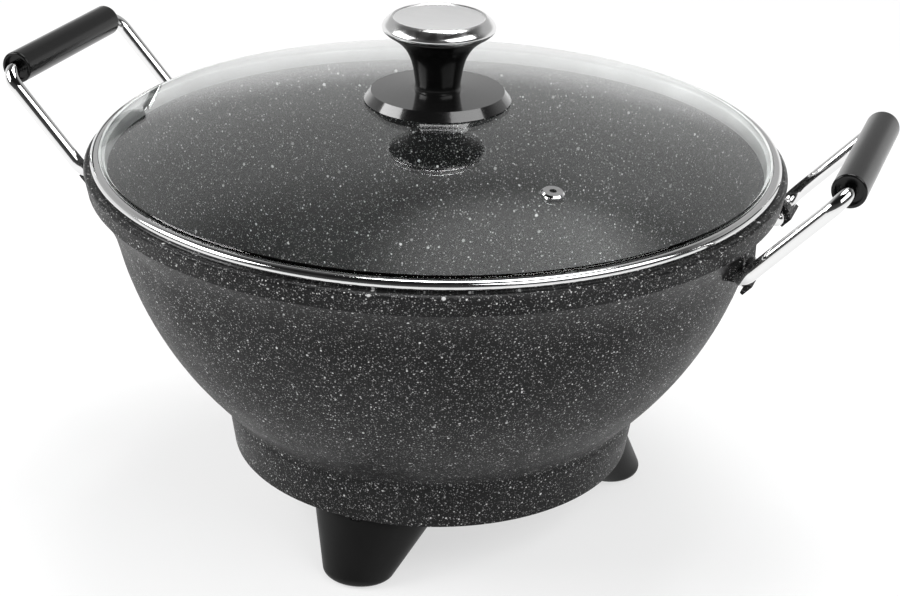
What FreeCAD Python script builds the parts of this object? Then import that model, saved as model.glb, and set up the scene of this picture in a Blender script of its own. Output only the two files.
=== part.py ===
"""An electric wok: a cast bowl on three feet, a domed glass lid with a knob, and two wire handles.

The origin is on the bowl's axis at the floor, with +Z up, the handles along X and the power inlet
at the back, on +Y. Angles round the bowl are counted from the front, -Y, towards +X.
"""

import FreeCAD, Part
import math
import os

from FreeCAD import Vector

# Heights, each on top of the one before
FOOT_HEIGHT = 31.8
RING_HEIGHT = 27.2
BODY_HEIGHT = 88.5
NECK_HEIGHT = 24.0
RIM_FACE_HEIGHT = 9.5
LID_RISE = 5.0              # top of the lid's band above the rim
BASE_SPACE = 10.2           # from the ring's lower edge to the underside of the bowl
FLOOR_THICKNESS = 6.0

# Bowl radii, from the base ring outward
RING_R = 99.9
RING_TAPER = 3.0
RING_FLARE = 1.6            # the small fillet at the top of the ring
RING_FLARE_HEIGHT = 6.0
BODY_FLARE = 49.3
NECK_FLARE = 12.2
RIM_STEP = 1.4
WALL = 3.8
RIM_THICKNESS = 6.0
RIM_ROUND = 1.6
CORNER = 18.7               # width of the curve between the cooking floor and the wall
CORNER_HEIGHT = 14.8
SEAT_WIDTH = 2.0            # flat seat of the bowl on the base ring
SEAT_GAP = 0.3
UNDERSIDE_INSET = 16.5
INNER_DROP = 1.0            # inner curves end this much lower than the outer ones

# How far the curved profiles stand out from straight lines
BODY_BULGE = 7.5
NECK_HOLLOW = -1.6
CORNER_BULGE = 2.3
FLARE_HOLLOW = -0.6

# Glass lid
BAND_INSET = 3.1            # band inside the rim's outer edge
BAND_SHEET = 0.7
BAND_FLANGE = 4.2
BAND_ROLL = 2.0
SKIRT_DEPTH = 5.0           # below the rim
SKIRT_GAP = 2.6             # between the skirt and the rim's inner wall
SKIRT_TAPER = 0.8
GLASS = 3.4
GLASS_FLAT_GAP = 0.6        # between the flange and the start of the dome
GLASS_EDGE_ROUND = 1.6
GLASS_STEP = 1.5            # the underside steps down this much further in
DOME_RISE = 22.5
VENT_RADIUS = 108.0
VENT_ANGLE = 48.5
VENT_R = 5.2
VENT_HOLE_R = 1.6
VENT_BARREL_R = 3.7
VENT_FLANGE = 0.8
VENT_PLAY = 0.1

# Knob
PLATE_R = 35.0
PLATE_TOP_R = 31.8
PLATE_EDGE = 4.2
PLATE_CROWN = 0.8
PLATE_RIM = 2.0
PLATE_GAP = 0.4             # between the plate's edge and the glass
PLATE_PLAY = 0.05
NECK_OF_KNOB_R = 10.8
KNOB_FOOT_R = 13.0
KNOB_WAIST = 6.5            # height of the narrowest place above the plate
KNOB_FOOT_HOLLOW = -0.8
KNOB_FLARE_R = 18.5
KNOB_FLARE_DROP = 4.0
KNOB_FLARE_HOLLOW = -2.6
KNOB_LIP_R = 25.0
KNOB_LIP = 0.6
SPIGOT_INSET = 1.4
SPIGOT = 1.2
KNOB_HEIGHT = 39.6          # cap top above the glass
CAP_R = 26.9
CAP_DEPTH = 7.0
CAP_FOOT_INSET = 1.3
CAP_SHOULDER = 4.9
CAP_SHOULDER_INSET = 1.6
CAP_SIDE_BULGE = 1.4
CAP_TOP_BULGE = 0.5
CAP_EDGE = 0.9
CAP_RECESS_R = 21.3
CAP_RECESS = 0.5
CAP_PLAY = 0.05
KNOB_SCREW_R = 2.5
KNOB_SCREW_PLAY = 0.5
THREAD_END = 8.0            # end of the stem's screw hole below the lip
SCREW_END_GAP = 2.0
SCREW_HEAD_R = 5.0
WASHER_R = 11.0
WASHER = 1.6

# Wire handles
WIRE_R = 3.5
PIVOT_INSET = 4.7           # pivot axis inside the rim's face
PIVOT_DROP = 9.5            # below the rim's face
LEG_Y = 53.0                # leg centre line
LEG_LENGTH = 62.8           # pivot axis to grip axis
LEG_ANGLE = 48.0            # above the horizontal, at rest
BEND_R = 9.0
TIP_Y = 25.5
TIP_ROUND = 2.1
GRIP_R = 7.8
GRIP_LENGTH = 88.0
GRIP_ROUND = 1.0
GRIP_RECESS = 2.2
GRIP_RECESS_R = 6.3
RUNNING_GAP = 0.06

# Handle eyes, cast under the rim
EYE_IN_Y = 33.0
EYE_OUT_Y = 40.0
EYE_WALL = 1.8
EAR_IN_Y = 29.0
EAR_OUT_Y = 42.0
EAR_THICKNESS = 5.5
EAR_ROOT = 1.0
STOP_GAP = 0.3
STOP_THICKNESS = 1.6
STOP_HALF_WIDTH = 3.0
STOP_OUT_Y = 51.0

# Feet
FOOT_ANGLES = {"foot_front": 0.0, "foot_right": 120.0, "foot_left": 240.0}
FOOT_TIP_R = 16.4
FOOT_TIP_INSET = 4.1        # tip centre inside the ring's outer edge
FOOT_TOP_R = 33.9
FOOT_TOP_INSET = 1.3
FOOT_EDGE = 3.0
KEY_WIDTH = 4.0
KEY_HEIGHT = 4.0
KEY_DEPTH = 2.4
KEY_INSET = 1.0
KEY_GAP = 0.4

# Underside
BOSS_R = 6.0
BOSS_INSET = 11.9           # foot screws inside the ring's outer edge
BOSS_ROOT = 8.0
COVER = 0.8
COVER_GAP = 0.4
COVER_SCREW_CIRCLE = 40.0
BETWEEN_FEET = 60.0
SCREW_R = 2.0
HEAD_R = 4.0
HEAD = 2.6
THREAD_DEPTH = 6.0
FOOT_SCREW_DROP = 9.8       # from the foot's top to the underside of the screw head
POCKET_GAP = 0.5

# Heating element and inlet
ELEMENT_R = 3.2
ELEMENT_CIRCLE = 66.0
ELEMENT_BEND = 9.0
PIN_R = 2.5
PIN_ROUND = 1.2
PIN_SPACING = 26.0
PIN_REACH = 3.0             # from the pin's end to the shroud's mouth
PIN_START = 12.0            # hidden length behind the shroud
PROBE_R = 4.75
PROBE_BORE_R = 3.6
PROBE_LENGTH = 17.0
PROBE_START = 4.0           # hidden length behind the shroud
SHROUD_DEPTH = 15.0
SHROUD_PROUD = 7.1          # beyond the ring's outer edge
SHROUD_WIDTH = 50.0
SHROUD_HEIGHT = 18.4
SHROUD_WALL = 2.4
WINDOW_GAP = 0.3

SIDES = {"left": -1, "right": 1}
TINY = 0.01

# Levels
RING_BOTTOM = FOOT_HEIGHT
SEAM_Z = RING_BOTTOM + RING_HEIGHT
NECK_Z = SEAM_Z + BODY_HEIGHT
FACE_Z = NECK_Z + NECK_HEIGHT
RIM_TOP = FACE_Z + RIM_FACE_HEIGHT
LID_PLANE = RIM_TOP + LID_RISE
UNDERSIDE = RING_BOTTOM + BASE_SPACE
COOKING_FLOOR = UNDERSIDE + FLOOR_THICKNESS
COVER_TOP = RING_BOTTOM + COVER

# Radii
RING_IN_R = RING_R - WALL
BODY_END_R = RING_R + RING_TAPER + RING_FLARE
NECK_R = BODY_END_R + BODY_FLARE
RIM_FACE_R = NECK_R + NECK_FLARE
RIM_R = RIM_FACE_R + RIM_STEP
RIM_IN_R = RIM_FACE_R - RIM_THICKNESS
BAND_R = RIM_R - BAND_INSET
SKIRT_R = RIM_IN_R - SKIRT_GAP

# Derived places
DOME_R = (BAND_R ** 2 + DOME_RISE ** 2) / (2 * DOME_RISE)
GLASS_TOP = LID_PLANE + DOME_RISE
PIVOT_X = RIM_FACE_R - PIVOT_INSET
PIVOT_Z = FACE_Z - PIVOT_DROP
BOSS_CIRCLE = RING_R - BOSS_INSET
SHROUD_END_Y = RING_R + SHROUD_PROUD
SHROUD_START_Y = SHROUD_END_Y - SHROUD_DEPTH
ELEMENT_Z = UNDERSIDE - ELEMENT_R
PROBE_Z = UNDERSIDE - PROBE_R - RUNNING_GAP
PROBE_START_Y = SHROUD_START_Y - PROBE_START
PIN_START_Y = SHROUD_START_Y - PIN_START
SHROUD_BOTTOM = ELEMENT_Z - SHROUD_HEIGHT / 2


def bulged(a, b, bulge):
    """The middle of an arc from a to b, that far to the right of their straight line."""
    r, z = b[0] - a[0], b[1] - a[1]
    length = math.hypot(r, z)
    return (a[0] + b[0]) / 2 + bulge * z / length, (a[1] + b[1]) / 2 - bulge * r / length


def outline(corners):
    """A closed outline in the XZ plane. A corner (r, z, bulge) is reached by an arc."""
    edges, last = [], corners[-1]
    for corner in corners:
        a, b = Vector(last[0], 0, last[1]), Vector(corner[0], 0, corner[1])
        if len(corner) == 3:
            mid = bulged(last, corner, corner[2])
            edges.append(Part.Arc(a, Vector(mid[0], 0, mid[1]), b).toShape())
        else:
            edges.append(Part.makeLine(a, b))
        last = corner
    return Part.Face(Part.Wire(edges))


def turned(corners):
    """A solid of revolution about the Z axis."""
    return outline(corners).revolve(Vector(0, 0, 0), Vector(0, 0, 1), 360)


def tube(r_out, r_in, length, base):
    return Part.makeCylinder(r_out, length, base).cut(Part.makeCylinder(r_in, length, base))


def box(low, high):
    size = Vector(*high).sub(Vector(*low))
    return Part.makeBox(size.x, size.y, size.z, Vector(*low))


def around(radius, angle, z=0.0):
    """A point at that radius and angle from the front."""
    a = math.radians(angle)
    return Vector(radius * math.sin(a), -radius * math.cos(a), z)


def turn_to(shape, angle):
    """Turns a shape made at the front to its angle round the bowl."""
    return shape.rotated(Vector(0, 0, 0), Vector(0, 0, 1), angle)


def mirrored(shape, side):
    """A shape made for the right side, on either side."""
    return shape if side > 0 else shape.mirror(Vector(0, 0, 0), Vector(1, 0, 0))


def save(name, shape):
    if len(shape.Solids) == 1:
        shape = shape.Solids[0]
    shape.exportStep("parts/%s.step" % name)


# Bowl and base ring

def bowl_cavity():
    """The space inside the bowl, up to above the rim."""
    wall_foot = BODY_END_R - WALL
    return turned([
        (0, COOKING_FLOOR),
        (wall_foot - CORNER, COOKING_FLOOR),
        (wall_foot, COOKING_FLOOR + CORNER_HEIGHT, CORNER_BULGE),
        (NECK_R - WALL, NECK_Z - INNER_DROP, BODY_BULGE),
        (RIM_IN_R, FACE_Z - INNER_DROP, NECK_HOLLOW),
        (RIM_IN_R, LID_PLANE),
        (0, LID_PLANE),
    ])


def bowl_outside():
    """The cast body without its cavity: it stands on the base ring on a narrow flat seat."""
    return turned([
        (0, UNDERSIDE),
        (BODY_END_R - UNDERSIDE_INSET, UNDERSIDE),
        (BODY_END_R - SEAT_WIDTH - SEAT_GAP, SEAM_Z),
        (BODY_END_R, SEAM_Z),
        (NECK_R, NECK_Z, BODY_BULGE),
        (RIM_FACE_R, FACE_Z, NECK_HOLLOW),
        (RIM_R, RIM_TOP - RIM_ROUND),
        (RIM_R - RIM_ROUND, RIM_TOP, RIM_ROUND * (1 - math.sqrt(0.5))),
        (0, RIM_TOP),
    ])


def handle_eye(side, end):
    """A cast ear under the rim with an eye for the wire, and the stop that the leg rests on."""
    along = Vector(0, 1, 0)
    ys = sorted((end * EYE_IN_Y, end * EYE_OUT_Y))
    ear_ys = sorted((end * EAR_IN_Y, end * EAR_OUT_Y))
    eye_r = WIRE_R + EYE_WALL
    eye = Part.makeCylinder(eye_r, EYE_OUT_Y - EYE_IN_Y, Vector(PIVOT_X, ys[0], PIVOT_Z), along)
    web = box((NECK_R - WALL, ys[0], PIVOT_Z - eye_r), (PIVOT_X, ys[1], FACE_Z))
    ear_top = FACE_Z + EAR_ROOT
    shell = tube(RIM_FACE_R, RIM_FACE_R - EAR_THICKNESS, ear_top - PIVOT_Z, Vector(0, 0, PIVOT_Z))
    ear = shell.common(box((0, ear_ys[0], PIVOT_Z), (RIM_R, ear_ys[1], ear_top)))
    body = ear.fuse([eye, web, handle_stop(end)])
    hole = Part.makeCylinder(WIRE_R + RUNNING_GAP, EAR_OUT_Y - EAR_IN_Y,
                             Vector(PIVOT_X, ear_ys[0], PIVOT_Z), along)
    return mirrored(body.cut(hole), side)


def handle_stop(end):
    """A thin toe under the leg's bend, square to the leg."""
    gap = WIRE_R + STOP_GAP
    ys = sorted((end * EYE_IN_Y, end * STOP_OUT_Y))
    toe = box((-STOP_HALF_WIDTH, ys[0], -gap - STOP_THICKNESS), (STOP_HALF_WIDTH, ys[1], -gap))
    toe.rotate(Vector(0, 0, 0), Vector(0, 1, 0), -LEG_ANGLE)
    toe.translate(Vector(PIVOT_X, 0, PIVOT_Z))
    return toe


def cover_screw_angles():
    return [angle + BETWEEN_FEET for angle in FOOT_ANGLES.values()]


def bosses():
    """Screw bosses under the cooking floor, for the feet and the cover."""
    places = [(BOSS_CIRCLE, a) for a in FOOT_ANGLES.values()]
    places += [(COVER_SCREW_CIRCLE, a) for a in cover_screw_angles()]
    made = []
    for radius, angle in places:
        start = around(radius, angle, COVER_TOP)
        boss = Part.makeCylinder(BOSS_R, UNDERSIDE + BOSS_ROOT - COVER_TOP, start)
        made.append(boss.cut(Part.makeCylinder(SCREW_R, THREAD_DEPTH, start)))
    return made


def inlet_window():
    """The opening at the back of the base, for the inlet."""
    half = SHROUD_WIDTH / 2 + WINDOW_GAP
    return box((-half, SHROUD_START_Y - WINDOW_GAP, RING_BOTTOM),
               (half, SHROUD_END_Y, SHROUD_BOTTOM + SHROUD_HEIGHT + WINDOW_GAP))


def bowl():
    eyes = [handle_eye(side, end) for side in SIDES.values() for end in (-1, 1)]
    body = bowl_outside().fuse(eyes + bosses())
    return body.cut(bowl_cavity()).cut(inlet_window()).removeSplitter()


def foot_key(extra=0.0):
    """The key under the base ring that stops a foot turning, at the front."""
    half = KEY_WIDTH / 2 + extra
    outer = RING_R - KEY_INSET
    return box((-half, -outer - extra, RING_BOTTOM - KEY_HEIGHT - extra),
               (half, -outer + KEY_DEPTH + extra, RING_BOTTOM))


def base_ring():
    """The cast ring between the feet and the bowl, with a flared top edge."""
    seat_r = BODY_END_R - SEAT_WIDTH
    slope = (seat_r - SEAT_GAP - BODY_END_R + UNDERSIDE_INSET) / (SEAM_Z - UNDERSIDE)
    inner_top_r = RING_IN_R + RING_TAPER / 2
    ring = turned([
        (RING_IN_R, RING_BOTTOM),
        (RING_R, RING_BOTTOM),
        (RING_R + RING_TAPER, SEAM_Z - RING_FLARE_HEIGHT),
        (BODY_END_R, SEAM_Z, FLARE_HOLLOW),
        (seat_r, SEAM_Z),
        (inner_top_r, SEAM_Z - (seat_r - inner_top_r) / slope),
    ])
    keys = [turn_to(foot_key(), a) for a in FOOT_ANGLES.values()]
    return ring.cut(inlet_window()).fuse(keys).removeSplitter()


# Underside

def circle_at(radius, centre, z):
    """A level circle whose centre is at the front, that far from the axis."""
    return Part.Wire([Part.makeCircle(radius, Vector(0, -centre, z))])


def foot():
    """One splayed conical foot, at the front, with its key notch and screw pocket."""
    tip = circle_at(FOOT_TIP_R, RING_R - FOOT_TIP_INSET, 0)
    top = circle_at(FOOT_TOP_R, RING_R - FOOT_TOP_INSET - FOOT_TOP_R, RING_BOTTOM)
    body = Part.makeLoft([tip, top], True, True)
    sole = min(body.Edges, key=lambda e: e.BoundBox.ZMax)
    body = body.makeFillet(FOOT_EDGE, [sole])
    pocket = Part.makeCylinder(HEAD_R + POCKET_GAP, RING_BOTTOM - FOOT_SCREW_DROP,
                               Vector(0, -BOSS_CIRCLE, 0))
    hole = Part.makeCylinder(SCREW_R + RUNNING_GAP, RING_BOTTOM, Vector(0, -BOSS_CIRCLE, 0))
    return body.cut([pocket, hole, foot_key(KEY_GAP)])


def pan_head(radius, top):
    """A screw head hanging below that height on the Z axis, its lower edge rounded."""
    head = Part.makeCylinder(radius, HEAD, Vector(0, 0, top - HEAD))
    rim = [e for e in head.Edges if e.BoundBox.ZMax < top - HEAD + TINY]
    return head.makeFillet(HEAD / 3, rim[:1])


def screw(shank_r, head_r, head_z, tip_z, place):
    """A pan-head screw pointing up, its head under head_z."""
    shank = Part.makeCylinder(shank_r, tip_z - head_z, Vector(0, 0, head_z))
    return shank.fuse(pan_head(head_r, head_z)).translated(Vector(place.x, place.y, 0))


def screw_set(radius, angles, head_z):
    """Three screws into the bosses round a circle."""
    tip = COVER_TOP + THREAD_DEPTH
    return Part.makeCompound([screw(SCREW_R, HEAD_R, head_z, tip, around(radius, a)) for a in angles])


def base_cover():
    """The sheet-steel cover that closes the base ring, cut away round the inlet."""
    plate = Part.makeCylinder(RING_IN_R - COVER_GAP, COVER, Vector(0, 0, RING_BOTTOM))
    holes = [around(BOSS_CIRCLE, a, RING_BOTTOM) for a in FOOT_ANGLES.values()]
    holes += [around(COVER_SCREW_CIRCLE, a, RING_BOTTOM) for a in cover_screw_angles()]
    plate = plate.cut([Part.makeCylinder(SCREW_R + RUNNING_GAP, COVER, h) for h in holes])
    half = SHROUD_WIDTH / 2 + COVER_GAP
    notch = box((-half, PROBE_START_Y - COVER_GAP, 0), (half, RING_R, LID_PLANE))
    return plate.cut(notch)


def element_half(side):
    """Half of the heating element: a wide arc, a bend outward and a straight end."""
    pin_x = PIN_SPACING / 2
    bend_x = pin_x + ELEMENT_BEND
    reach = ELEMENT_CIRCLE + ELEMENT_BEND
    bend_y = math.sqrt(reach ** 2 - bend_x ** 2)
    share = ELEMENT_CIRCLE / reach
    start_angle = math.atan2(-bend_y, -bend_x) % math.tau
    mid_angle = (start_angle + math.pi) / 2

    def at(x, y):
        return Vector(side * x, y, ELEMENT_Z)

    front, join, out = at(0, -ELEMENT_CIRCLE), at(bend_x * share, bend_y * share), at(pin_x, bend_y)
    mid = at(bend_x + ELEMENT_BEND * math.cos(mid_angle), bend_y + ELEMENT_BEND * math.sin(mid_angle))
    path = Part.Wire([
        Part.Arc(front, at(ELEMENT_CIRCLE, 0), join).toShape(),
        Part.Arc(join, mid, out).toShape(),
        Part.makeLine(out, at(pin_x, PIN_START_Y)),
    ])
    section = Part.Wire([Part.makeCircle(ELEMENT_R, front, Vector(1, 0, 0))])
    return path.makePipeShell([section], True, False)


def heating_element():
    """The tubular element under the cooking floor, with both ends turned to the inlet."""
    left, right = (element_half(side) for side in SIDES.values())
    return left.fuse(right).removeSplitter()


def terminal_pins():
    """The two inlet pins, each with a thicker root through the shroud's wall."""
    root_end = SHROUD_START_Y + SHROUD_WALL
    length = SHROUD_END_Y - PIN_REACH - root_end
    pins = []
    for side in SIDES.values():
        x = side * PIN_SPACING / 2
        root = Part.makeCylinder(ELEMENT_R, root_end - PIN_START_Y, Vector(x, PIN_START_Y, ELEMENT_Z),
                                 Vector(0, 1, 0))
        pin = Part.makeCylinder(PIN_R, length, Vector(x, root_end, ELEMENT_Z), Vector(0, 1, 0))
        tip = [e for e in pin.Edges if e.BoundBox.YMin > root_end + length - TINY]
        pins.append(root.fuse(pin.makeFillet(PIN_ROUND, tip[:1])))
    return Part.makeCompound(pins)


def probe_tube():
    """The tube that takes the probe of a plug-in thermostat, closed at its inner end."""
    bottom = Vector(0, PROBE_START_Y + PROBE_R - PROBE_BORE_R, PROBE_Z)
    body = Part.makeCylinder(PROBE_R, PROBE_LENGTH, Vector(0, PROBE_START_Y, PROBE_Z), Vector(0, 1, 0))
    return body.cut(Part.makeCylinder(PROBE_BORE_R, PROBE_LENGTH, bottom, Vector(0, 1, 0)))


def inlet_shroud():
    """The moulded socket round the pins and the probe tube."""
    half = SHROUD_WIDTH / 2
    low, top = SHROUD_BOTTOM, SHROUD_BOTTOM + SHROUD_HEIGHT
    body = box((-half, SHROUD_START_Y, low), (half, SHROUD_END_Y, top))
    lengthwise = [e for e in body.Edges if e.BoundBox.YLength > SHROUD_DEPTH - TINY]
    body = body.makeFillet(SHROUD_WALL, lengthwise)
    mouth = box((-half + SHROUD_WALL, SHROUD_START_Y + SHROUD_WALL, low + SHROUD_WALL),
                (half - SHROUD_WALL, SHROUD_END_Y, top - SHROUD_WALL))
    body = body.cut(mouth)
    pin_x = PIN_SPACING / 2
    for x, z, r in ((-pin_x, ELEMENT_Z, ELEMENT_R), (0, PROBE_Z, PROBE_R), (pin_x, ELEMENT_Z, ELEMENT_R)):
        back = Vector(x, SHROUD_START_Y, z)
        body = body.cut(Part.makeCylinder(r + RUNNING_GAP, SHROUD_WALL, back, Vector(0, 1, 0)))
    return body


# Lid

def dome_z(r, drop=0.0):
    """Height of the glass at a radius: its top, or a surface that much below it."""
    return GLASS_TOP - DOME_R + math.sqrt((DOME_R - drop) ** 2 - r ** 2)


def dome_bulge(r_in, r_out, drop=0.0):
    """How far the dome stands out from a straight line between two radii."""
    radius = DOME_R - drop
    chord = math.hypot(r_out - r_in, dome_z(r_in, drop) - dome_z(r_out, drop))
    return radius - math.sqrt(radius ** 2 - (chord / 2) ** 2)


def lid_glass():
    """The domed glass, with a flat edge inside the band."""
    edge_r = BAND_R - BAND_SHEET
    shelf = LID_PLANE - BAND_SHEET
    flat_r = BAND_R - BAND_FLANGE - GLASS_FLAT_GAP
    under_r, hole_r = flat_r - GLASS_STEP, KNOB_SCREW_R + KNOB_SCREW_PLAY
    dish = turned([
        (hole_r, dome_z(hole_r, GLASS)),
        (under_r, dome_z(under_r, GLASS), -dome_bulge(hole_r, under_r, GLASS)),
        (under_r, shelf - GLASS),
        (edge_r, shelf - GLASS),
        (edge_r, shelf - GLASS_EDGE_ROUND),
        (edge_r - GLASS_EDGE_ROUND, shelf, GLASS_EDGE_ROUND * (1 - math.sqrt(0.5))),
        (flat_r, shelf),
        (flat_r, dome_z(flat_r)),
        (hole_r, dome_z(hole_r), dome_bulge(hole_r, flat_r)),
    ])
    hole = Part.makeCylinder(VENT_BARREL_R + VENT_PLAY, 3 * GLASS, Vector(0, 0, -2 * GLASS))
    return dish.cut(at_vent(hole))


def lid_band():
    """The rolled steel band: a channel round the glass, and a skirt down inside the rim."""
    sheet, inner_roll = BAND_SHEET, BAND_ROLL - BAND_SHEET
    inner_r, low = BAND_R - sheet, LID_PLANE - BAND_SHEET - GLASS
    quarter = 1 - math.sqrt(0.5)
    flange_r, skirt_low = BAND_R - BAND_FLANGE, RIM_TOP - SKIRT_DEPTH
    return turned([
        (flange_r, LID_PLANE - sheet),
        (flange_r, LID_PLANE, -sheet / 2),
        (BAND_R - BAND_ROLL, LID_PLANE),
        (BAND_R, LID_PLANE - BAND_ROLL, -BAND_ROLL * quarter),
        (BAND_R, RIM_TOP),
        (SKIRT_R, RIM_TOP),
        (SKIRT_R - SKIRT_TAPER, skirt_low),
        (SKIRT_R - SKIRT_TAPER - sheet, skirt_low, -sheet / 2),
        (SKIRT_R - sheet, low),
        (inner_r, low),
        (inner_r, LID_PLANE - BAND_ROLL),
        (BAND_R - BAND_ROLL, LID_PLANE - sheet, inner_roll * quarter),
    ])


def at_vent(shape):
    """Moves a shape made upright at the origin to the vent, square to the glass."""
    shape.rotate(Vector(0, 0, 0), Vector(1, 0, 0), math.degrees(math.asin(VENT_RADIUS / DOME_R)))
    shape.translate(Vector(0, -VENT_RADIUS, dome_z(VENT_RADIUS)))
    return turn_to(shape, VENT_ANGLE)


def vent_eyelet():
    """The steam vent: a rolled steel eyelet through the glass."""
    low = -GLASS - VENT_PLAY
    collar_r = VENT_R - VENT_FLANGE / 2
    eyelet = turned([
        (VENT_HOLE_R, VENT_FLANGE),
        (VENT_R - VENT_FLANGE, VENT_FLANGE),
        (VENT_R, 0),
        (VENT_BARREL_R, 0),
        (VENT_BARREL_R, low),
        (collar_r, low),
        (collar_r, low - VENT_FLANGE),
        (VENT_HOLE_R, low - VENT_FLANGE),
    ])
    return at_vent(eyelet)


def knob_levels():
    """Heights of the plate's lower edge and top, the cap's lower edge and the cap's top."""
    plate_low = dome_z(PLATE_R) + PLATE_GAP
    top = GLASS_TOP + KNOB_HEIGHT
    return plate_low, plate_low + PLATE_EDGE + PLATE_CROWN, top - CAP_DEPTH, top


def knob_base():
    """The round black plate under the knob, hollowed to sit on the dome."""
    low, top, _, _ = knob_levels()
    rim_in, hole_r = PLATE_R - PLATE_RIM, KNOB_SCREW_R + KNOB_SCREW_PLAY
    seat = GLASS_TOP + PLATE_PLAY
    return turned([
        (hole_r, seat),
        (rim_in, seat),
        (rim_in, low),
        (PLATE_R, low),
        (PLATE_TOP_R, low + PLATE_EDGE),
        (KNOB_FOOT_R, top),
        (hole_r, top),
    ])


def knob_stem():
    """The waisted black stem, flared under the cap."""
    _, foot_z, lip_z, _ = knob_levels()
    seat_r, seat_z = KNOB_LIP_R - SPIGOT_INSET, lip_z + SPIGOT
    return turned([
        (KNOB_SCREW_R, foot_z),
        (KNOB_FOOT_R, foot_z),
        (NECK_OF_KNOB_R, foot_z + KNOB_WAIST, KNOB_FOOT_HOLLOW),
        (KNOB_FLARE_R, lip_z - KNOB_FLARE_DROP, KNOB_FLARE_HOLLOW),
        (KNOB_LIP_R, lip_z - KNOB_LIP),
        (KNOB_LIP_R, lip_z),
        (seat_r, lip_z),
        (seat_r, seat_z),
        (0, seat_z),
        (0, lip_z - THREAD_END),
        (KNOB_SCREW_R, lip_z - THREAD_END),
    ])


def knob_cap():
    """The steel cap: a shallow recessed top and a round side band."""
    _, _, low, top = knob_levels()
    recess = top - CAP_RECESS
    inner_r, inner_z = KNOB_LIP_R - SPIGOT_INSET + CAP_PLAY, low + SPIGOT + CAP_PLAY
    return turned([
        (0, inner_z),
        (inner_r, inner_z),
        (inner_r, low),
        (CAP_R - CAP_FOOT_INSET, low),
        (CAP_R - CAP_SHOULDER_INSET, low + CAP_SHOULDER, CAP_SIDE_BULGE),
        (CAP_RECESS_R + CAP_EDGE, top, CAP_TOP_BULGE),
        (CAP_RECESS_R, recess),
        (0, recess),
    ])


def washer_bottom():
    return dome_z(WASHER_R, GLASS) - WASHER


def knob_screw():
    """The screw up through the glass into the stem."""
    _, _, lip_z, _ = knob_levels()
    tip = lip_z - THREAD_END - SCREW_END_GAP
    return screw(KNOB_SCREW_R - RUNNING_GAP, SCREW_HEAD_R, washer_bottom(), tip, Vector(0, 0, 0))


def knob_washer():
    """The soft washer between the screw head and the glass."""
    return tube(WASHER_R, KNOB_SCREW_R + RUNNING_GAP, WASHER, Vector(0, 0, washer_bottom()))


# Handles

def leg_point(distance, y):
    """A point on the plane of the right handle, that far from the pivot axis."""
    a = math.radians(LEG_ANGLE)
    return Vector(PIVOT_X + distance * math.cos(a), y, PIVOT_Z + distance * math.sin(a))


def wire_end(end):
    """One end of the rod's centre line, from the tip to the cross bar."""
    turn = BEND_R * (1 - math.sqrt(0.5))
    straight_y = LEG_Y - BEND_R
    low = [leg_point(0, end * straight_y), leg_point(turn, end * (LEG_Y - turn)),
           leg_point(BEND_R, end * LEG_Y)]
    high = [leg_point(LEG_LENGTH - BEND_R, end * LEG_Y), leg_point(LEG_LENGTH - turn, end * (LEG_Y - turn)),
            leg_point(LEG_LENGTH, end * straight_y)]
    return [
        Part.makeLine(leg_point(0, end * TIP_Y), low[0]),
        Part.Arc(*low).toShape(),
        Part.makeLine(low[2], high[0]),
        Part.Arc(*high).toShape(),
    ]


def handle_wire(side):
    """The bent rod: two ends in the eyes, two legs and a cross bar through the grip."""
    bar_y = LEG_Y - BEND_R
    bar = Part.makeLine(leg_point(LEG_LENGTH, -bar_y), leg_point(LEG_LENGTH, bar_y))
    path = Part.Wire(Part.sortEdges(wire_end(-1) + [bar] + wire_end(1))[0])
    section = Part.Wire([Part.makeCircle(WIRE_R, leg_point(0, -TIP_Y), Vector(0, 1, 0))])
    rod = path.makePipeShell([section], True, False)
    tips = [e for e in rod.Edges if e.BoundBox.YLength < TINY and e.BoundBox.XLength > WIRE_R
            and abs(abs(e.BoundBox.YMin) - TIP_Y) < TINY]
    return mirrored(rod.makeFillet(TIP_ROUND, tips), side)


def grip(side):
    """The black sleeve on the cross bar, dished at both ends."""
    start, along = leg_point(LEG_LENGTH, -GRIP_LENGTH / 2), Vector(0, 1, 0)
    body = Part.makeCylinder(GRIP_R, GRIP_LENGTH, start, along)
    ends = [e for e in body.Edges if e.BoundBox.YLength < TINY]
    body = body.makeFillet(GRIP_ROUND, ends)
    body = body.cut(Part.makeCylinder(WIRE_R + RUNNING_GAP, GRIP_LENGTH, start, along))
    for y in (-GRIP_LENGTH / 2, GRIP_LENGTH / 2 - GRIP_RECESS):
        body = body.cut(Part.makeCylinder(GRIP_RECESS_R, GRIP_RECESS, leg_point(LEG_LENGTH, y), along))
    return mirrored(body, side)


def main():
    os.makedirs("parts", exist_ok=True)
    save("bowl", bowl())
    save("base_ring", base_ring())
    for name, angle in FOOT_ANGLES.items():
        save(name, turn_to(foot(), angle))
    save("foot_screws", screw_set(BOSS_CIRCLE, FOOT_ANGLES.values(), RING_BOTTOM - FOOT_SCREW_DROP))
    save("base_cover", base_cover())
    save("cover_screws", screw_set(COVER_SCREW_CIRCLE, cover_screw_angles(), RING_BOTTOM))
    save("heating_element", heating_element())
    save("terminal_pins", terminal_pins())
    save("probe_tube", probe_tube())
    save("inlet_shroud", inlet_shroud())
    save("lid_glass", lid_glass())
    save("lid_band", lid_band())
    save("vent_eyelet", vent_eyelet())
    save("knob_base", knob_base())
    save("knob_stem", knob_stem())
    save("knob_cap", knob_cap())
    save("knob_screw", knob_screw())
    save("knob_washer", knob_washer())
    for name, side in SIDES.items():
        save("handle_wire_" + name, handle_wire(side))
        save("grip_" + name, grip(side))


main()
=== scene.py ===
"""The looks of an electric wok: stone coating, domed glass, chrome, steel and black plastics."""

import math

import bmesh
import bpy
from mathutils import Matrix, Vector

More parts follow.
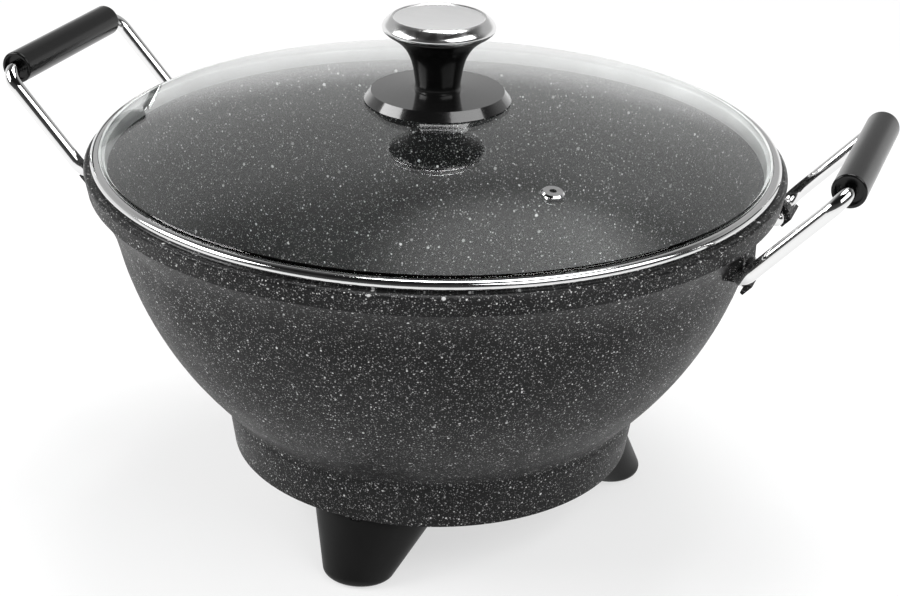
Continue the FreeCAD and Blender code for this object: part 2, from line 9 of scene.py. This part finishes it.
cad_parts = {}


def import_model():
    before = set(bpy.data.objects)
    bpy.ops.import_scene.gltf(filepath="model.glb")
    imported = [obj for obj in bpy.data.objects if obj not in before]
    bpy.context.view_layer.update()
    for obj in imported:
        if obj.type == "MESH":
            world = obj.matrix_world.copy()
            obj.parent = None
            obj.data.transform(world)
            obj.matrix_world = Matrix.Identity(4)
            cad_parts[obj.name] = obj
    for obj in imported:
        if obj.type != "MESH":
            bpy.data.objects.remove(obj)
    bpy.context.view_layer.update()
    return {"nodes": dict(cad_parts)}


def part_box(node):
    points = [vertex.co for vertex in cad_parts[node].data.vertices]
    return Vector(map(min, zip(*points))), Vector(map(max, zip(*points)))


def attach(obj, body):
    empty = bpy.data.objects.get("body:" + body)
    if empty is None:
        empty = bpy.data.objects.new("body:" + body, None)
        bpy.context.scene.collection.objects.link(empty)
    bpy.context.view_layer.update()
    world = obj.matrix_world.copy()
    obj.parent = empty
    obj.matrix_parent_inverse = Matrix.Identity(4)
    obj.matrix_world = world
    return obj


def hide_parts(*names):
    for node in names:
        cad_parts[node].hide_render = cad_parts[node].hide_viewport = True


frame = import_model()
NODES = frame["nodes"]

# The camera, from the photograph's perspective. Its place is given about the top of the lid's band.
LID_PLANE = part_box("lid_band")[1].z
FOCAL_PX, PHOTO_WIDTH, SENSOR = 1969.2, 900, 36.0
CAMERA_AZIMUTH, CAMERA_ELEVATION, CAMERA_ROLL = 0.3482, 0.4331, 0.0238
CAMERA_DISTANCE, CAMERA_RIGHT, CAMERA_UP = 0.9445, 0.00636, -0.07503

# The lid's plane above the rim, and the glass's thickness
LID_RISE, GLASS = 0.005, 0.0034

# Turned pieces: steps about the axis, steps between a sweep's points, and how near points merge
TURN_STEPS, SWEEP_STEPS, MERGE = 288, 4, 1e-7
# Edges that turn by more than these angles are drawn sharp
SHARP_NODE, SHARP_TURNED = math.radians(28), math.radians(40)

# White specks: cell, middling radius, share of the cells that have one, seed and brightness
SPECK_LAYERS = (
    (0.0008, 0.00027, 0.90, 0.11, 0.32),
    (0.0015, 0.00036, 0.75, 0.37, 0.75),
    (0.0036, 0.00046, 0.50, 0.53, 0.90),
    (0.0075, 0.00063, 0.42, 0.71, 1.00),
)
# The same for what faces up, as the bowl's inside does. Their brightness fades in with that.
DROPS = (0.0046, 0.00080, 0.5, 0.91)

# Light from the world for diffuse rays, by the height of their direction
FILL_HEIGHTS, FILL = (0.0, 0.7), (0.1, 0.6)
# What glossy and transmission rays see: height and brightness of the ceiling's stops
CEILING = ((0.10, 1.0), (0.27, 0.52), (0.52, 0.46), (0.74, 0.10))
# By the cosine to a way, a factor that darkens the front, and a glow that is added at the back
FRONT_WAY, FRONT_COSINES, FRONT = (0.341, -0.94, 0.0), (-0.5, 0.0), (1.0, 0.10)
GLOW_WAY, GLOW_COSINES, GLOW = (-0.086, 0.616, 0.783), (0.968, 0.997), (0.0, 0.75)

# The floor, and the share of its own light by the distance from the middle
FLOOR_SIZE, FLOOR_DROP = 12, 0.0004
FLOOR_DISTANCES, FLOOR_SHARES = (0.25, 1.2), (0.6, 1.0)

# Soft boxes to the left and right of the camera and overhead: name, place, size and power
LAMPS = (
    ("left_box", (-1.21, -0.59, 0.99), (1.1, 0.75), 17),
    ("right_box", (1.12, -0.32, 1.21), (1.5, 0.8), 13),
    ("top_box", (0.05, 0.45, 1.75), (0.9, 0.6), 17),
)
LAMP_AIM = (0, 0, 0.12)


def make_camera():
    """A camera that looks as the photograph's does, placed about the lid's centre."""
    az, el, roll = CAMERA_AZIMUTH, CAMERA_ELEVATION, CAMERA_ROLL
    back = Vector((math.sin(az) * math.cos(el), -math.cos(az) * math.cos(el), math.sin(el)))
    right = Vector((math.cos(az), math.sin(az), 0))
    up = back.cross(right)
    across = right * math.cos(roll) + up * math.sin(roll)
    upward = up * math.cos(roll) - right * math.sin(roll)
    data = bpy.data.cameras.new("camera")
    data.sensor_width = SENSOR
    data.lens = FOCAL_PX * SENSOR / PHOTO_WIDTH
    camera = bpy.data.objects.new("camera", data)
    bpy.context.scene.collection.objects.link(camera)
    place = back * CAMERA_DISTANCE + across * CAMERA_RIGHT + upward * CAMERA_UP
    place.z += LID_PLANE
    turn = Matrix((across, upward, back)).transposed().to_4x4()
    camera.matrix_world = Matrix.Translation(place) @ turn
    bpy.context.scene.camera = camera


# Materials

class Graph:
    """The node tree of a new material or world, with short ways to add and join nodes."""

    def __init__(self, name, kind="materials", output="OutputMaterial"):
        self.owner = getattr(bpy.data, kind).new(name)
        self.owner.use_nodes = True
        self.tree = self.owner.node_tree
        self.tree.nodes.clear()
        self.output = self.add(output)

    def add(self, kind, **values):
        """Adds a node, with values for its settings and its inputs.

        An input goes by its number, as n0, or by its name, with underscores for the spaces."""
        node = self.tree.nodes.new("ShaderNode" + kind)
        for key, value in values.items():
            if hasattr(node, key):
                setattr(node, key, value)
            else:
                which = int(key[1:]) if key[1:].isdigit() else key.replace("_", " ")
                self.join(value, node.inputs[which])
        return node

    def join(self, value, socket):
        """Links a socket to an input, or sets the input to a value."""
        if isinstance(value, bpy.types.NodeSocket):
            self.tree.links.new(value, socket)
        else:
            socket.default_value = value

    def math(self, operation, a, b):
        return self.add("Math", operation=operation, n0=a, n1=b).outputs[0]

    def product(self, a, b):
        return self.math("MULTIPLY", a, b)

    def greatest(self, first, *others):
        for other in others:
            first = self.math("MAXIMUM", first, other)
        return first

    def vector(self, operation, a, **inputs):
        return self.add("VectorMath", operation=operation, n0=a, **inputs).outputs

    def ramp(self, value, low, high, start=0.0, end=1.0):
        """A smooth step from start, where value is low, to end, where it is high."""
        return self.add("MapRange", interpolation_type="SMOOTHSTEP",
                        n0=value, n1=low, n2=high, n3=start, n4=end).outputs[0]

    def mix(self, share, a, b):
        """A colour between a and b. The node's inputs 6 and 7 and output 2 are its colours."""
        return self.add("Mix", data_type="RGBA", n0=share, n6=a, n7=b).outputs[2]

    def blend(self, share, a, b):
        """A shader between a and b."""
        return self.add("MixShader", n0=share, n1=a, n2=b).outputs[0]

    def place(self):
        return self.add("TexCoord").outputs["Object"]

    def noise(self, scale, detail=2.0, place=None, output="Fac"):
        node = self.add("TexNoise", Vector=place or self.place(), Scale=scale, Detail=detail)
        return node.outputs[output]

    def bump(self, height, distance, strength):
        return self.add("Bump", Height=height, Distance=distance, Strength=strength).outputs[0]

    def end(self, shader):
        """Joins the shader to the output, and gives back the material or world."""
        self.join(shader, self.output.inputs[0])
        return self.owner

    def surface(self, **inputs):
        """Ends a material in a Principled shader."""
        return self.end(self.add("BsdfPrincipled", **inputs).outputs[0])


def grey(value, tint=0.0):
    return (value, value, value * (1 + tint), 1)


def specks(graph, place, cell, radius, share, seed):
    """Round specks in some of the cells of a random pattern.

    Their radii are 0.35 to 1.45 times the one given, and their brightness is 0.25 to 1."""
    moved = graph.add("Mapping", Vector=place, Location=(seed, seed * 0.7, seed * 1.3))
    cells = graph.add("TexVoronoi", Vector=moved.outputs[0], Scale=1 / cell)
    chance, size, tone = graph.add("SeparateColor", Color=cells.outputs["Color"]).outputs
    chosen = graph.math("LESS_THAN", chance, share)
    reach = graph.product(graph.math("ADD", graph.product(size, 1.1), 0.35), radius / cell)
    spot = graph.ramp(graph.math("DIVIDE", cells.outputs["Distance"], reach), 1.0, 0.6)
    bright = graph.math("ADD", graph.product(tone, 0.75), 0.25)
    return graph.product(graph.product(spot, chosen), bright)


def stone_coating():
    """A black coating full of white specks, smoother where it faces up."""
    graph = Graph("stone_coating")
    # Places that wobble, so that the specks come out ragged
    shift = graph.vector("SCALE", graph.noise(1400.0, output="Color"), Scale=0.0007)[0]
    place = graph.vector("ADD", graph.place(), n1=shift)[0]
    facing = graph.add("SeparateXYZ", n0=graph.add("NewGeometry").outputs["Normal"]).outputs["Z"]
    inside = graph.ramp(facing, 0.2, 0.4)
    white = graph.greatest(*(graph.product(specks(graph, place, *layer), brightness)
                             for *layer, brightness in (*SPECK_LAYERS, (*DROPS, inside))))
    cloud = graph.ramp(graph.noise(26.0, 4.0), 0.3, 0.7)
    grain = graph.ramp(graph.noise(1900.0), 0.35, 0.7)
    base = graph.mix(graph.product(grain, cloud), grey(0.006, 0.03), grey(0.018, 0.03))
    colour = graph.mix(white, base, grey(0.85))
    height = graph.math("ADD", graph.noise(1500.0, 3.0), graph.product(white, 0.4))
    rough = graph.math("SUBTRACT", graph.ramp(graph.noise(90.0), 0.2, 0.8, 0.4, 0.5),
                       graph.product(inside, 0.12))
    return graph.surface(Base_Color=colour, Roughness=rough,
                         Specular_IOR_Level=0.14, Normal=graph.bump(height, 0.0001, 0.6))


def glass():
    """Clear glass, which shadow rays pass through nearly undimmed."""
    graph = Graph("lid_glass")
    clear = graph.add("BsdfPrincipled", Base_Color=(0.96, 0.975, 0.97, 1), Roughness=0.0,
                      IOR=1.5, Transmission_Weight=1.0).outputs[0]
    through = graph.add("BsdfTransparent", Color=(0.93, 0.95, 0.94, 1)).outputs[0]
    return graph.end(graph.blend(graph.add("LightPath").outputs["Is Shadow Ray"], clear, through))


def polished(name, value, roughness):
    """Bright metal with faint smears and waves."""
    graph = Graph(name)
    smear = graph.ramp(graph.noise(240.0, 3.0), 0.3, 0.7, roughness * 0.8, roughness * 1.25)
    return graph.surface(Base_Color=grey(value), Metallic=1.0, Roughness=smear,
                         Normal=graph.bump(graph.noise(60.0), 0.00002, 0.3))


def brushed(name, value, roughness, stretch=(1, 90, 90)):
    """Metal with a fine grain, which runs along X unless stretch is the same for all axes."""
    graph = Graph(name)
    place = graph.add("Mapping", Vector=graph.place(), Scale=stretch).outputs[0]
    grain = graph.noise(80.0, 4.0, place)
    tone = graph.mix(graph.ramp(grain, 0.3, 0.7), grey(value * 0.93), grey(value))
    return graph.surface(Base_Color=tone, Metallic=1.0,
                         Roughness=graph.ramp(grain, 0.2, 0.8, roughness * 0.85, roughness * 1.15),
                         Normal=graph.bump(grain, 0.00003, 0.5))


def moulded(name, value, roughness, grain_size, grain_depth, coat=0.0, specular=0.5):
    """A dull or glossy material with a moulded grain of a size and depth in metres."""
    graph = Graph(name)
    grain = graph.noise(1 / grain_size, 3.0)
    rough = graph.ramp(graph.noise(55.0, 3.0), 0.25, 0.75, roughness * 0.88, roughness * 1.12)
    tone = graph.mix(graph.noise(30.0, 3.0), grey(value * 0.85), grey(value * 1.15))
    return graph.surface(Base_Color=tone, Roughness=rough, Coat_Weight=coat, Coat_Roughness=0.06,
                         Specular_IOR_Level=specular, Normal=graph.bump(grain, grain_depth, 0.6))


# Pieces turned about the lid's axis

def soften(mesh, angle):
    """Smooth shading between the edges that turn by more than the angle."""
    mesh.polygons.foreach_set("use_smooth", [True] * len(mesh.polygons))
    mesh.set_sharp_from_angle(angle=angle)


def lathe(name, node, profile, materials, second=()):
    """A ring turned from a closed profile of (radius, height), which stands for a lid's CAD node.

    The profile's edges that are numbered in second take the second material."""
    count = len(profile)
    turns = [2 * math.pi * step / TURN_STEPS for step in range(TURN_STEPS)]
    points = [(r * math.cos(a), r * math.sin(a), z) for a in turns for r, z in profile]
    faces = []
    for step in range(TURN_STEPS):
        here, there = step * count, (step + 1) % TURN_STEPS * count
        faces += [(here + i, there + i, there + (i + 1) % count, here + (i + 1) % count)
                  for i in range(count)]
    mesh = bpy.data.meshes.new(name)
    mesh.from_pydata(points, [], faces)
    picks = [int(i in second) for _ in turns for i in range(count)]
    mesh.polygons.foreach_set("material_index", picks)
    shape = bmesh.new()
    shape.from_mesh(mesh)
    bmesh.ops.remove_doubles(shape, verts=shape.verts, dist=MERGE)
    # A profile that starts and ends on the axis leaves an edge without faces there
    bare = [edge for edge in shape.edges if not edge.link_faces]
    bmesh.ops.delete(shape, geom=bare, context="EDGES")
    bmesh.ops.recalc_face_normals(shape, faces=shape.faces)
    shape.to_mesh(mesh)
    shape.free()
    for material in materials:
        mesh.materials.append(material)
    soften(mesh, SHARP_TURNED)
    piece = bpy.data.objects.new(name, mesh)
    bpy.context.scene.collection.objects.link(piece)
    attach(piece, "lid")
    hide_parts(node)


def arc(r, z, radius, first, last, steps):
    """Points of an arc about (r, z), from the angle first to last, in degrees."""
    angles = [math.radians(first + (last - first) * i / steps) for i in range(steps + 1)]
    return [(r + radius * math.cos(a), z + radius * math.sin(a)) for a in angles]


def smooth(points):
    """More points on a smooth line through the points."""
    ends = [points[0]] + points + [points[-1]]
    line = []
    for a, b, c, d in zip(ends, ends[1:], ends[2:], ends[3:]):
        for i in range(SWEEP_STEPS):
            t = i / SWEEP_STEPS
            line.append(tuple(0.5 * (2 * q + (r - p) * t + (2 * p - 5 * q + 4 * r - s) * t * t
                                     + (3 * q - p - 3 * r + s) * t ** 3)
                              for p, q, r, s in zip(a, b, c, d)))
    return line + [points[-1]]


def rolled_band(materials):
    """The lid's band: a flange on the glass, a rolled bead round it and a skirt inside the rim."""
    low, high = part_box("lid_band")
    top, edge, rim = high.z, high.x, high.z - LID_RISE
    bead, nose, sheet, corner, taper = 0.0025, 0.00035, 0.0007, 0.0006, 0.0008
    flange, skirt, under = edge - 0.0042, edge - 0.0069, top - sheet - GLASS
    profile = arc(flange + nose, top - nose, nose, 270, 90, 8)
    profile += arc(edge - bead, top - bead, bead, 90, -60, 28)
    profile += [(edge - bead / 2, rim), (skirt + corner, rim)]
    profile += arc(skirt + corner, rim - corner, corner, 90, 180, 5)[1:]
    profile += [(skirt - taper, low.z + nose)]
    profile += arc(skirt - taper - nose, low.z + nose, nose, 0, -180, 8)[1:]
    # The skirt's inner face and the seat of the glass
    inner = {len(profile) - 1, len(profile)}
    profile += [(skirt - sheet, under), (edge - sheet, under), (edge - sheet, top - bead)]
    profile += arc(edge - bead, top - bead, bead - sheet, 0, 90, 10)[1:]
    lathe("rolled_band", "lid_band", profile, materials, inner)


def waisted_stem(material):
    """The knob's stem: narrow at the plate, and flared in one sweep to a lip under the cap."""
    low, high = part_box("knob_stem")
    bore, edge, lip, spigot, inset = 0.0026, high.x, 0.0006, 0.0012, 0.0014
    sweep = [(0.0113, 0.0), (0.01085, 0.0012), (0.0108, 0.003), (0.0112, 0.0055),
             (0.0118, 0.0088), (0.0128, 0.0125), (0.0144, 0.0160), (0.0166, 0.0190),
             (0.0193, 0.0215), (0.0222, 0.0235), (0.0240, 0.0246)]
    sweep_height, top = 0.0252, high.z - spigot
    scale = (top - lip - low.z) / sweep_height
    profile = [(bore, low.z)] + [(r, low.z + z * scale) for r, z in smooth(sweep)]
    profile += [(edge, top - lip), (edge, top),
                (edge - inset, top), (edge - inset, high.z), (bore, high.z)]
    lathe("waisted_stem", "knob_stem", profile, [material])


def domed_cap(materials):
    """The knob's cap: a satin top in a shallow recess, and a polished side in one round sweep."""
    low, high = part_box("knob_cap")
    top, edge, hollow, depth = high.z, high.x, 0.0236, 0.00125
    # Radii, and heights from the top. The first two edges are the satin ones.
    recess = [(0.0, -0.0005), (0.0205, -0.0005), (0.0213, -0.0004), (0.0216, -0.0001)]
    satin = {0, 1}
    side = [(0.0222, 0.0), (0.0236, -0.0007), (0.0251, -0.0020), (0.0263, -0.0034),
            (0.0269, -0.0048), (0.0267, -0.0059), (0.0260, -0.0067), (0.0256, -0.0070)]
    scale = edge / max(r for r, _ in side)
    profile = [(r, top + z) for r, z in recess] + [(r * scale, top + z) for r, z in smooth(side)]
    profile += [(hollow, low.z), (hollow, low.z + depth), (0.0, low.z + depth)]
    lathe("domed_cap", "knob_cap", profile, materials, satin)


# The looks of the pieces

def dress(materials):
    """Gives each CAD node its material and smooth shading between sharp edges."""
    for name, material in materials.items():
        mesh = NODES[name].data
        mesh.materials.clear()
        mesh.materials.append(material)
        soften(mesh, SHARP_NODE)


def dress_all():
    """Dresses the CAD nodes, and adds the turned pieces with their materials."""
    stone, clear = stone_coating(), glass()
    steel = polished("polished_steel", 0.74, 0.09)
    chrome = polished("chrome_wire", 0.8, 0.045)
    black = moulded("black_phenolic", 0.005, 0.16, 0.004, 0.00002, coat=1.0)
    plastic = moulded("black_plastic", 0.007, 0.42, 0.0005, 0.00006, specular=0.2)
    sleeve = moulded("grip_black", 0.004, 0.2, 0.004, 0.00002, specular=0.32)
    satin = brushed("satin_steel", 0.62, 0.3)
    sheet = brushed("sheet_steel", 0.42, 0.36)
    zinc = brushed("zinc_screw", 0.55, 0.35, (60, 60, 60))
    sheath = moulded("element_sheath", 0.22, 0.5, 0.001, 0.00004)
    silicone = moulded("silicone", 0.03, 0.6, 0.001, 0.00003)
    dress({
        "bowl": stone, "base_ring": stone, "base_cover": sheet,
        "foot_front": plastic, "foot_right": plastic, "foot_left": plastic,
        "inlet_shroud": plastic, "heating_element": sheath,
        "terminal_pins": satin, "probe_tube": satin,
        "lid_glass": clear, "lid_band": steel, "vent_eyelet": steel,
        "knob_base": black, "knob_stem": sleeve, "knob_cap": satin, "knob_washer": silicone,
        "foot_screws": zinc, "cover_screws": zinc, "knob_screw": zinc,
        "handle_wire_left": chrome, "handle_wire_right": chrome,
        "grip_left": sleeve, "grip_right": sleeve,
    })
    rolled_band([steel, brushed("skirt_steel", 0.78, 0.5, (1, 1, 1))])
    waisted_stem(sleeve)
    domed_cap([polished("cap_steel", 0.82, 0.16), brushed("cap_satin", 0.95, 0.34)])


# The studio

def world():
    """White for the camera, a studio for glossy and transmission rays, a plain fill for others."""
    graph = Graph("studio", "worlds", "OutputWorld")
    way = graph.add("TexCoord").outputs["Generated"]
    height = graph.add("SeparateXYZ", n0=way).outputs["Z"]

    def lobe(toward, cosines, values):
        """A value that changes with the angle between a ray and the way toward."""
        cosine = graph.vector("DOT_PRODUCT", way, n1=toward)["Value"]
        return graph.ramp(cosine, *cosines, *values)

    ceiling = graph.add("ValToRGB", n0=height)
    ceiling.color_ramp.interpolation = "EASE"
    stops = ceiling.color_ramp.elements
    while len(stops) < len(CEILING):
        stops.new(0.5)
    for stop, (position, value) in zip(stops, CEILING):
        stop.position, stop.color = position, grey(value)
    walls = graph.product(ceiling.outputs[0], lobe(FRONT_WAY, FRONT_COSINES, FRONT))
    light = graph.math("ADD", walls, lobe(GLOW_WAY, GLOW_COSINES, GLOW))
    fill = graph.ramp(height, *FILL_HEIGHTS, *FILL)
    plain, studio, white = (
        graph.add("Background", Color=grey(1.0), Strength=strength).outputs[0]
        for strength in (fill, light, 1.0))
    path = graph.add("LightPath").outputs
    mirrored = graph.greatest(path["Is Glossy Ray"], path["Is Transmission Ray"])
    reflected = graph.blend(mirrored, plain, studio)
    bpy.context.scene.world = graph.end(graph.blend(path["Is Camera Ray"], reflected, white))


def floor():
    """A wide pale floor that shows as white, with the object's soft shadow on it."""
    graph = Graph("floor")
    path = graph.add("LightPath").outputs
    diffuse = graph.add("BsdfDiffuse", Color=grey(0.9)).outputs[0]
    glow = graph.add("Emission", Color=grey(1.0), Strength=1.0).outputs[0]
    seen = graph.greatest(path["Is Camera Ray"], path["Is Glossy Ray"], path["Is Transmission Ray"])
    away = graph.vector("LENGTH", graph.place())["Value"]
    share = graph.product(seen, graph.ramp(away, *FLOOR_DISTANCES, *FLOOR_SHARES))
    bpy.ops.mesh.primitive_plane_add(size=FLOOR_SIZE, location=(0, 0, -FLOOR_DROP))
    plane = bpy.context.object
    plane.name = "floor"
    plane.data.materials.append(graph.end(graph.blend(share, diffuse, glow)))


def lamp(name, place, size, power):
    """A soft box that faces the object."""
    data = bpy.data.lights.new(name, "AREA")
    data.shape = "RECTANGLE"
    data.size, data.size_y = size
    data.energy = power
    light = bpy.data.objects.new(name, data)
    bpy.context.scene.collection.objects.link(light)
    turn = (Vector(place) - Vector(LAMP_AIM)).to_track_quat("Z", "Y")
    light.matrix_world = Matrix.Translation(place) @ turn.to_matrix().to_4x4()


def main():
    bpy.context.scene.view_settings.view_transform = "Standard"
    make_camera()
    dress_all()
    world()
    floor()
    for values in LAMPS:
        lamp(*values)


main()
